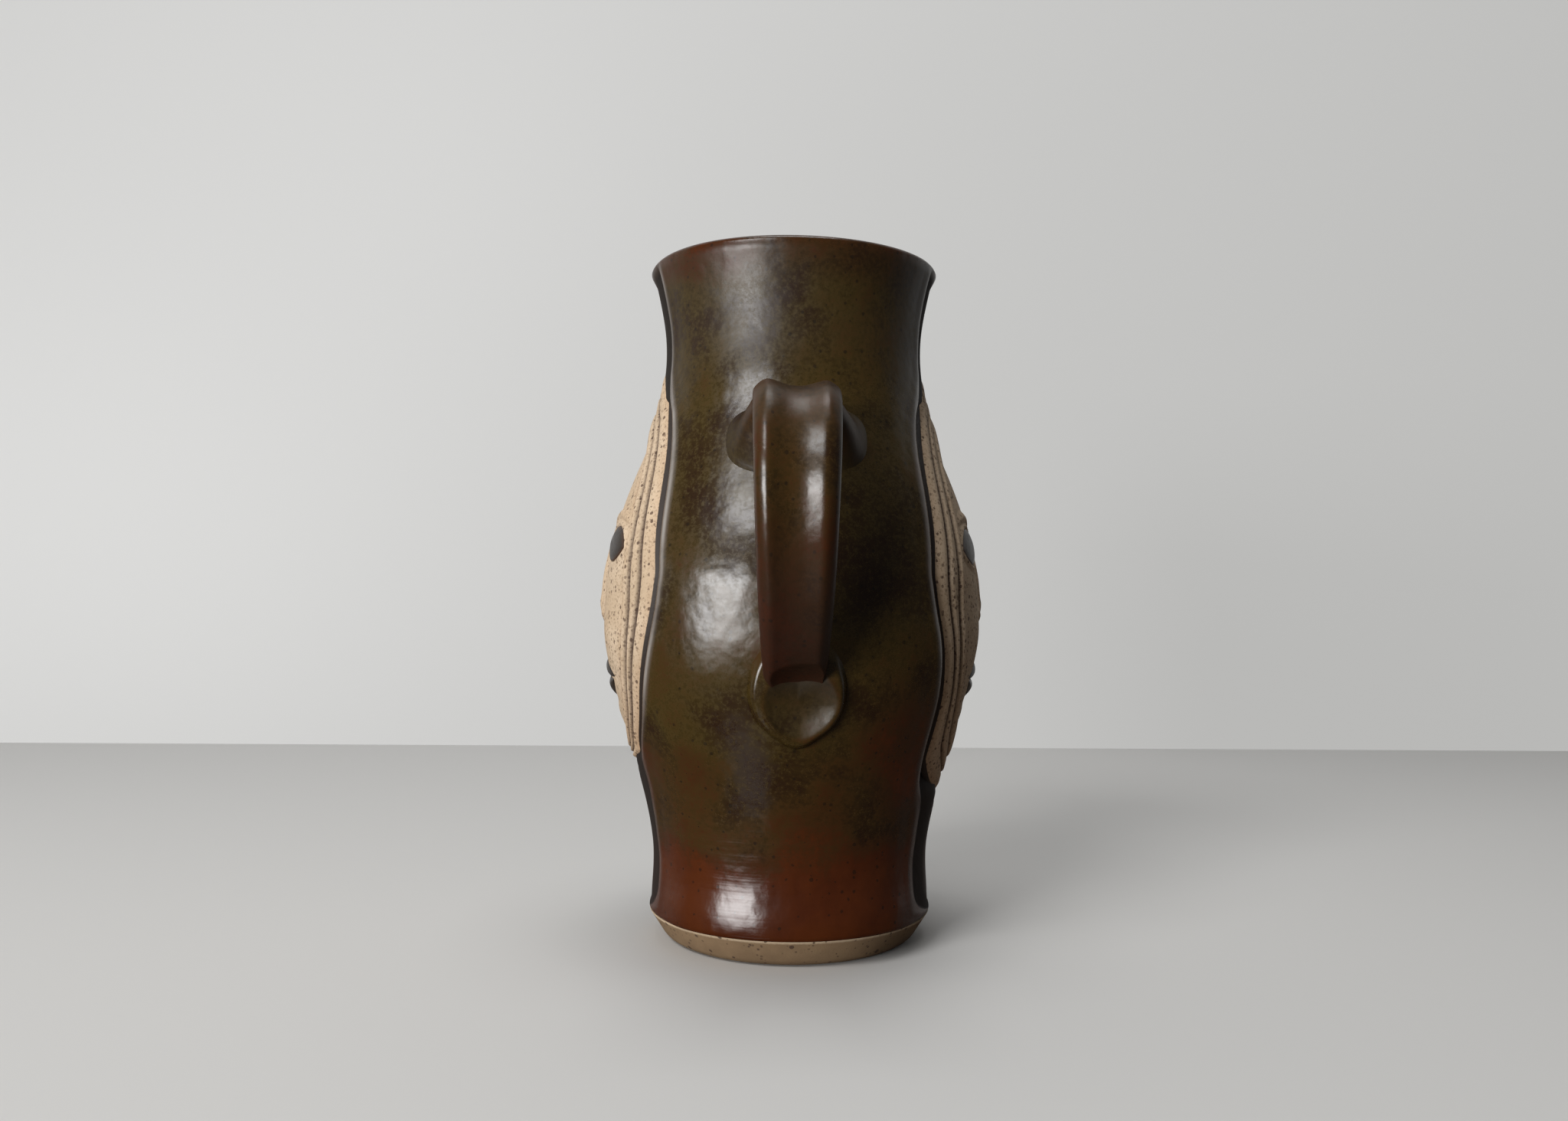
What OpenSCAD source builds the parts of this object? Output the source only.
// Stoneware face jug: a thrown, glazed wall on a bare clay foot, a pulled strap handle,
// and a carved face set in a leaf-shaped recess on each side.
// The foot stands at z = 0. The handle points to -Y, the pouring lip to +Y, and the
// two faces look along -X (left) and +X (right).

/* [Wall] */
// Radius of the flat underside
base_r = 35; // [30:0.5:39]
// Height of the bare clay foot, up to the glaze line
foot_h = 8; // [6:0.5:12]
// Radius at the glaze line
foot_r = 40.4; // [38:0.1:44]
// Rise from the glaze line to the waist above the foot
foot_to_waist = 14; // [10:0.5:20]
// Radius of the waist above the foot
waist_r = 39.3; // [36:0.1:42]
// Rise from the waist to the full belly
waist_to_belly = 70; // [62:0.5:80]
// Radius of the belly
belly_r = 55.3; // [50:0.1:61]
// Height of the belly's upright band
belly_band = 8; // [4:0.5:16]
// Rise from the belly to the neck
belly_to_neck = 66; // [58:0.5:76]
// Radius of the neck
neck_r = 36.7; // [33:0.1:40]
// Rise from the neck to the rim
neck_to_rim = 24; // [18:0.5:32]
// Radius of the rim
rim_r = 40.9; // [38:0.1:46]
// Thickness of the thrown wall
wall_t = 7.5; // [7:0.1:9.5]
// Thickness of the rim
rim_t = 3.6; // [2.6:0.1:5]

/* [Pouring lip] */
// How far below the rim the lip starts
lip_depth = 24; // [16:0.5:30]
// Half angle of the pulled lip
lip_angle = 26; // [20:0.5:30]
// Forward lean of the lip
lip_lean = 10; // [4:0.5:14]
// Thickness of the lip
lip_t = 3.2; // [2.4:0.1:4.5]
// How far the lip's edge lies below the rim
lip_edge_drop = 1; // [0.5:0.1:2]

/* [Side recess] */
// Depth of the recess on its midline
recess_d = 4.2; // [3.6:0.1:4.4]
// Half width of the leaf at its middle
leaf_half = 41.3; // [38:0.1:43]
// Height of the leaf above its middle
leaf_up = 61; // [56:0.5:64]
// Depth of the leaf below its middle
leaf_down = 52.5; // [48:0.5:58]
// How much tighter than the wall a clay panel is rounded
panel_bulge = 3; // [1:0.1:4]
// Gap between a clay panel and the glazed edge
edge_gap = 1.3; // [0.8:0.1:2]
// Half width of the narrow channel where it leaves the leaf's top
channel_top_half = 14; // [11:0.5:17]
// Half width of the channel's upper tip
channel_tip_half = 9.5; // [7:0.5:11]
// Half width of the channel where it leaves the leaf's bottom
channel_low_half = 11.5; // [9:0.5:14]
// Half width of the channel's lower tip
channel_toe_half = 7.5; // [5:0.5:9]
// How far a channel starts inside the leaf
channel_root = 7; // [6:0.5:10]
// Distance kept between a channel's tip and the rim or the glaze line
channel_margin = 3; // [2.5:0.5:6]
// Depth of a channel
channel_d = 1.8; // [1:0.1:2.2]

/* [Hair] */
// Incised lines in each band of hair
hair_lines = 2; // [1:1:4]
// Width of an incised line
line_w = 0.9; // [0.6:0.1:1.4]
// Depth of an incised line
line_d = 1; // [0.6:0.1:1.4]
// Width of the parting above and below the face
parting_w = 1.2; // [0.8:0.1:2]

/* [Face] */
// Half width of the face
face_half = 27.5; // [24:0.5:30]
// Height of the face above the leaf's middle
face_up = 47; // [44:0.5:50]
// Depth of the face below the leaf's middle
face_down = 41; // [38:0.5:44]
// Gap between the face and the hair
face_gap = 1.3; // [0.8:0.1:2]
// How far the cheeks lie below the hair
cheek_drop = 2; // [1.6:0.1:2.4]
// Height of the eyes above the leaf's middle
eye_rise = 15; // [12:0.5:18]
// Distance of an eye's centre from the nose's midline
eye_aside = 13.5; // [12:0.5:15]
// Width of an eye
eye_w = 20; // [16:0.5:21]
// Height of an eye
eye_h = 10; // [8:0.5:12]
// Outward droop of an eye
eye_tilt = 8; // [0:0.5:12]
// Depth of an eye's seat in the cheek
eye_seat = 0.9; // [0.5:0.1:1.1]
// How far an eye's top lies below the hair
eye_sink = 0.9; // [0.5:0.1:1.2]
// Thickness of a brow
brow_w = 3.4; // [2.4:0.1:4.5]
// Clear distance between a brow and its eye
brow_gap = 1.5; // [1:0.1:3]
// Height of the nose's base below the leaf's middle
nose_low = 7; // [5:0.5:10]
// Radius of the nose's tip
nose_tip_r = 4.4; // [3.4:0.1:5.2]
// Radius of a nostril's wing
nostril_r = 3; // [2.2:0.1:3.8]
// Radius of the bridge
bridge_r = 2.4; // [1.8:0.1:2.8]
// How far the bridge lies below the hair
bridge_sink = 0.7; // [0.4:0.1:1]
// Depth of the mouth line below the leaf's middle
mouth_low = 22.5; // [20:0.5:26]
// Width of the upper lip
mouth_w = 30; // [24:0.5:34]
// Height of the upper lip
upper_lip_h = 4.8; // [3.5:0.1:6]
// Height of the lower lip
lower_lip_h = 5.6; // [4:0.1:7]
// How much shorter than the upper lip the lower one is at each end
lower_lip_inset = 2.5; // [1:0.1:4]
// Width of the line between the lips
mouth_line = 0.8; // [0.5:0.1:1.2]
// How far the lips lie below the hair
mouth_sink = 0.5; // [0.3:0.1:1]

/* [Handle] */
// Height of the handle's upper root
root_z = 137; // [132:0.5:142]
// Height where the strap lands above the thumb pad
land_z = 79; // [75:0.5:84]
// How far the strap's curve pulls out from the wall at the root
handle_pull = 50; // [44:0.5:56]
// How far the strap's curve pulls out from the wall at its landing
handle_low_pull = 35; // [30:0.5:40]
// How far the strap's curve pulls up at the root
handle_rise = 17; // [12:0.5:20]
// How far the strap's curve pulls up at its landing
handle_sag = 19; // [14:0.5:24]
// Width of the strap at the top
strap_w = 21.5; // [18:0.1:25]
// Width of the strap where it lands
strap_low_w = 13; // [11:0.1:16]
// Thickness of the strap
strap_t = 8; // [6.5:0.1:9]
// Depth of the thumb channel along the strap
strap_channel = 0.9; // [0.4:0.1:1.4]
// Width of the root on the wall
root_w = 37; // [30:0.5:42]
// Height of the root on the wall
root_h = 21; // [17:0.5:25]
// Share of the handle's curve taken by the root
root_share = 0.15; // [0.12:0.01:0.18]
// How far the thumb pad's centre lies below the strap's landing
pad_drop = 8; // [5:0.5:12]
// Radius of the thumb pad on the wall
pad_r = 11.2; // [9.5:0.1:12.5]
// How far the thumb pad stands off the wall
pad_t = 4.8; // [3.6:0.1:5.6]
// Radius of the thumb print
print_r = 12; // [9:0.5:15]
// Depth of the thumb print
print_d = 3.4; // [2:0.1:4]

/* [Making] */
// Layer of slip between two joined pieces
slip = 0.15; // [0.1:0.01:0.3]

/* [Hidden] */
$fn = 96;
turned_facets = 240;
nose_facets = 24;
waist_z = foot_h + foot_to_waist;
belly_low_z = waist_z + waist_to_belly;
belly_high_z = belly_low_z + belly_band;
neck_z = belly_high_z + belly_to_neck;
rim_z = neck_z + neck_to_rim;
leaf_z = (belly_low_z + belly_high_z) / 2;
reach = 2 * belly_r;
profile_steps = 42;
outline_steps = 56;
rim_steps = 5;
crest_land = 12;
crest_z = rim_z - rim_t / 2 * cos(crest_land);
crest_mid = wall_r(crest_z) - rim_t / 2;
strap_rings = 30;
root_rings = 10;
strap_sides = 28;
strap_round = 0.7;
small_step = 0.001;
lip_root_r = 0.5;
lip_root_z = rim_z - lip_depth;
pad_z = land_z - pad_drop;
pad_ball_r = (pad_r * pad_r + pad_t * pad_t) / (2 * pad_t);
glaze_colour = "saddlebrown";
dark_colour = "#2b1a10";
clay_colour = "burlywood";

// Goes from 0 to 1 as t does, level at both ends
function ease(t) = (1 - cos(180 * t)) / 2;

// Outside radius of the thrown wall at height z
function wall_r(z) =
    z < waist_z ? foot_r + (waist_r - foot_r) * ease((z - foot_h) / foot_to_waist) :
    z < belly_low_z ? waist_r + (belly_r - waist_r) * ease((z - waist_z) / waist_to_belly) :
    z < belly_high_z ? belly_r :
    z < neck_z ? belly_r + (neck_r - belly_r) * ease((z - belly_high_z) / belly_to_neck) :
    neck_r + (rim_r - neck_r) * (1 - cos(90 * (z - neck_z) / neck_to_rim));

// Thickness of the wall at height z
function thick(z) = z < neck_z ? wall_t : wall_t + (rim_t - wall_t) * (z - neck_z) / neck_to_rim;

// Outward lean of the wall from upright at height z, in degrees
function wall_lean(z) = atan((wall_r(z + small_step) - wall_r(z - small_step)) / (2 * small_step));

function heights(top) = [for (i = [0 : profile_steps]) foot_h + (top - foot_h) * i / profile_steps];

// Points of an egg that is half wide, up tall above its middle and down deep below it
function egg(half, up, down) = [for (i = [0 : outline_steps - 1])
    let (a = 360 * i / outline_steps) [half * cos(a), (sin(a) > 0 ? up : down) * sin(a)]];

// Wall forms

// Solid of the wall's outside, grown by some distance
module turned(grow) {
    outer = [for (z = heights(rim_z)) [wall_r(z) + grow, z]];
    rotate_extrude($fn = turned_facets) polygon(concat([[0, foot_h]], outer, [[0, rim_z]]));
}

// Points of the rim's rounded edge, from one angle to another
function crest(from, to) = [for (i = [0 : rim_steps])
    let (a = from + (to - from) * i / rim_steps)
    [crest_mid + rim_t / 2 * cos(a), crest_z + rim_t / 2 * sin(a)]];

// Solid of the wall's outside, with the outer half of the rounded rim
module wall_outside() {
    outer = [for (z = heights(crest_z)) [wall_r(z), z]];
    rotate_extrude($fn = turned_facets)
        polygon(concat([[0, foot_h]], outer, crest(crest_land, 90 - crest_land), [[0, rim_z]]));
}

// Space inside the wall, with the inner half of the rounded rim, carried on above it
module wall_inside() {
    inner = [for (z = heights(crest_z)) [wall_r(z) - (z < crest_z ? thick(z) : rim_t), z]];
    edge = crest(180 - crest_land, 90 + crest_land);
    over = rim_z + rim_t;
    rotate_extrude($fn = turned_facets)
        polygon(concat([[0, foot_h]], inner, edge, [[edge[rim_steps][0], over], [0, over]]));
}

// Cone of the pulled lip, which starts some way up its own axis
module lip_cone(lift, length) {
    translate([0, wall_r(lip_root_z) - rim_t, lip_root_z])
        rotate([-lip_lean, 0, 0])
        translate([0, 0, lift])
        cylinder(h = length, r1 = lip_root_r, r2 = lip_root_r + length * tan(lip_angle));
}

// Recess and panel forms, drawn for the right side

// A flat outline in Y and Z, drawn about the leaf's middle and carried out along X
module carried() {
    translate([0, 0, leaf_z]) rotate([90, 0, 90]) linear_extrude(reach) children();
}

// Solid under the clay panels' surface, sunk by some depth
module panel_form(depth) {
    translate([panel_bulge, 0, 0]) turned(-panel_bulge - depth);
}

// What is drawn, kept between two depths under the panels' surface
module relief(top, bottom) {
    intersection() {
        carried() children();
        difference() {
            panel_form(top);
            panel_form(bottom);
        }
    }
}

module leaf_outline(inset) {
    polygon(egg(leaf_half - inset, leaf_up - inset, leaf_down - inset));
}

module face_outline(grow) {
    polygon(egg(face_half + grow, face_up + grow, face_down + grow));
}

// A narrowing channel from a leaf's tip to a round end
module channel_outline(start, end, wide, narrow) {
    polygon([[-wide, start], [wide, start], [narrow, end], [-narrow, end]]);
    translate([0, end]) circle(narrow);
}

module channels() {
    channel_outline(leaf_up - channel_root, rim_z - leaf_z - channel_margin - channel_tip_half,
        channel_top_half, channel_tip_half);
    channel_outline(channel_root - leaf_down, foot_h - leaf_z + channel_margin + channel_toe_half,
        channel_low_half, channel_toe_half);
}

// What is cut from the wall on one side: the leaf for the panels, and its two shallow channels
module recess() {
    difference() {
        carried() leaf_outline(0);
        panel_form(recess_d);
    }
    difference() {
        carried() channels();
        turned(-channel_d);
    }
}

// Nodes of the pot

module body_wall() {
    lip_length = (lip_depth - lip_edge_drop) / cos(lip_lean);
    color(glaze_colour) difference() {
        union() {
            wall_outside();
            lip_cone(0, lip_length);
        }
        wall_inside();
        lip_cone(lip_t / sin(lip_angle), lip_length);
        recess();
        mirror([1, 0, 0]) recess();
    }
}

module foot_slab() {
    color(clay_colour) cylinder(h = foot_h, r1 = base_r, r2 = foot_r);
}

// Handle: a strap swept along one curve, drawn as distance out from the axis and height

curve = [
    [wall_r(root_z) - wall_t / 2, root_z],
    [wall_r(root_z) + handle_pull, root_z + handle_rise],
    [wall_r(land_z) + handle_low_pull, land_z + handle_sag],
    [wall_r(land_z) - wall_t / 2, land_z]];

function curve_at(t) = curve[0] * pow(1 - t, 3) + 3 * curve[1] * t * pow(1 - t, 2)
    + 3 * curve[2] * t * t * (1 - t) + curve[3] * pow(t, 3);

// Direction square to the curve, out of the loop
function curve_out(t) =
    let (d = curve_at(t + small_step) - curve_at(t - small_step)) [-d[1], d[0]] / norm(d);

function flare(t) = t < root_share ? pow(1 - t / root_share, 2) : 0;

function strap_wide(t) = strap_w + (strap_low_w - strap_w) * t * t + (root_w - strap_w) * flare(t);

function strap_thick(t) = strap_t + (root_h - strap_t) * flare(t);

function squared(c) = sign(c) * pow(abs(c), strap_round);

// One ring of the strap: a rounded section with a thumb channel along its outside
function strap_ring(t) = [for (i = [0 : strap_sides - 1])
    let (
        a = 360 * i / strap_sides,
        x = squared(cos(a)) * strap_wide(t) / 2,
        dip = sin(a) > 0 ? strap_channel * (1 - flare(t)) * pow(cos(45 * (1 + abs(cos(a)))), 2) : 0,
        p = curve_at(t) + curve_out(t) * (squared(sin(a)) * strap_thick(t) / 2 - dip))
    [x, -p[0], p[1]]];

module swept(from, to, rings) {
    points = [for (k = [0 : rings]) each strap_ring(from + (to - from) * k / rings)];
    sides = [for (k = [0 : rings - 1], i = [0 : strap_sides - 1])
        let (j = (i + 1) % strap_sides, low = k * strap_sides, high = low + strap_sides)
        each [[low + i, low + j, high + j], [low + i, high + j, high + i]]];
    first = [for (i = [strap_sides - 1 : -1 : 0]) i];
    last = [for (i = [0 : strap_sides - 1]) rings * strap_sides + i];
    polyhedron(points = points, faces = concat([first], sides, [last]));
}

// Places what follows on the wall behind, with its Z axis square to the surface
module on_back_wall(z) {
    translate([0, -wall_r(z), z]) rotate([90 + wall_lean(z), 0, 0]) children();
}

// Ball whose cap on the wall is the thumb pad
module pad_ball(grow) {
    on_back_wall(pad_z) translate([0, 0, pad_t - pad_ball_r]) sphere(pad_ball_r + grow);
}

module handle_strap() {
    color(glaze_colour) difference() {
        swept(root_share, 1, strap_rings);
        pad_ball(slip);
        turned(slip);
    }
}

module handle_root() {
    color(glaze_colour) difference() {
        swept(0, root_share, root_rings);
        turned(slip);
    }
}

module thumb_pad() {
    color(glaze_colour) difference() {
        pad_ball(0);
        turned(slip);
        on_back_wall(pad_z) translate([0, 0, pad_t - print_d + print_r]) sphere(print_r);
    }
}

// Clay panels and the face, drawn for the right side

module hair(side) {
    cut = 2 * leaf_up;
    color(clay_colour) difference() {
        relief(0, recess_d - slip) difference() {
            leaf_outline(edge_gap);
            face_outline(face_gap);
            translate([side > 0 ? parting_w / 2 - cut : -parting_w / 2, -cut / 2]) square(cut);
        }
        difference() {
            carried() for (i = [1 : hair_lines]) hair_line(i / (hair_lines + 1));
            panel_form(line_d);
        }
    }
}

// One incised line, at a share of the way from the face to the glazed edge
module hair_line(share) {
    half = face_half + face_gap + (leaf_half - edge_gap - face_half - face_gap) * share;
    up = face_up + face_gap + (leaf_up - edge_gap - face_up - face_gap) * share;
    down = face_down + face_gap + (leaf_down - edge_gap - face_down - face_gap) * share;
    w = line_w / 2;
    difference() {
        polygon(egg(half + w, up + w, down + w));
        polygon(egg(half - w, up - w, down - w));
    }
}

// An almond of two arcs, with its length along the outline's first axis
module almond(long, high) {
    arc_r = (long * long + high * high) / (4 * high);
    intersection() {
        translate([0, high / 2 - arc_r]) circle(arc_r);
        translate([0, arc_r - high / 2]) circle(arc_r);
    }
}

module eye_outline(side, grow) {
    translate([side * eye_aside, eye_rise]) rotate(-side * eye_tilt)
        almond(eye_w + 2 * grow, eye_h + grow);
}

module face() {
    color(clay_colour) difference() {
        relief(cheek_drop, recess_d - slip) face_outline(0);
        difference() {
            carried() for (side = [-1, 1]) eye_outline(side, slip);
            panel_form(cheek_drop + eye_seat);
        }
    }
}

module eyes() {
    color(dark_colour) relief(eye_sink, cheek_drop + eye_seat - slip)
        for (side = [-1, 1]) eye_outline(side, 0);
}

// A brow is a band of the arc that the eye's upper lid follows
module brow_outline(side) {
    arc_r = (eye_w * eye_w + eye_h * eye_h) / (4 * eye_h);
    translate([side * eye_aside, eye_rise]) rotate(-side * eye_tilt) intersection() {
        translate([0, eye_h / 2 - arc_r]) difference() {
            circle(arc_r + brow_gap + brow_w);
            circle(arc_r + brow_gap);
        }
        translate([-eye_w / 2, 0]) square([eye_w, eye_w]);
    }
}

module brows() {
    color(clay_colour) relief(0, cheek_drop - slip) for (side = [-1, 1]) brow_outline(side);
}

// A round of the nose, sunk by some distance under the hair's surface
module nose_ball(r, aside, z, sink) {
    translate([wall_r(z) - r - sink, aside, z]) sphere(r, $fn = nose_facets);
}

module nose() {
    tip_z = leaf_z - nose_low + nose_tip_r;
    wing_z = leaf_z - nose_low + nostril_r;
    bridge_z = leaf_z + eye_rise + eye_h / 2;
    middle_z = (bridge_z + tip_z) / 2;
    middle_r = (bridge_r + nose_tip_r) / 2;
    color(clay_colour) difference() {
        union() {
            hull() {
                nose_ball(bridge_r, 0, bridge_z, bridge_sink);
                nose_ball(middle_r, 0, middle_z, bridge_sink / 2);
            }
            hull() {
                nose_ball(middle_r, 0, middle_z, bridge_sink / 2);
                nose_ball(nose_tip_r, 0, tip_z, 0);
                for (side = [-1, 1]) nose_ball(nostril_r, side * nose_tip_r, wing_z, bridge_sink);
            }
        }
        panel_form(cheek_drop - slip);
    }
}

// A lip is a segment of a circle that stands on the mouth line
module lip_outline(wide, high) {
    arc_r = (wide * wide / 4 + high * high) / (2 * high);
    intersection() {
        translate([0, high - arc_r]) circle(arc_r);
        translate([-wide, mouth_line / 2]) square([2 * wide, 2 * high]);
    }
}

module upper_lip() {
    color(dark_colour) relief(mouth_sink, cheek_drop - slip)
        translate([0, -mouth_low]) lip_outline(mouth_w, upper_lip_h);
}

module lower_lip() {
    color(dark_colour) relief(mouth_sink, cheek_drop - slip)
        translate([0, -mouth_low]) mirror([0, 1]) lip_outline(mouth_w - 2 * lower_lip_inset, lower_lip_h);
}

module left() {
    mirror([1, 0, 0]) children();
}

body_wall();
foot_slab();
handle_strap();
handle_root();
thumb_pad();
left() face();  // left_face
left() hair(-1);  // left_hair_back
left() hair(1);  // left_hair_front
left() nose();  // left_nose
left() brows();  // left_brows
left() eyes();  // left_eyes
left() upper_lip();  // left_upper_lip
left() lower_lip();  // left_lower_lip
face();  // right_face
hair(-1);  // right_hair_back
hair(1);  // right_hair_front
nose();  // right_nose
brows();  // right_brows
eyes();  // right_eyes
upper_lip();  // right_upper_lip
lower_lip();  // right_lower_lip
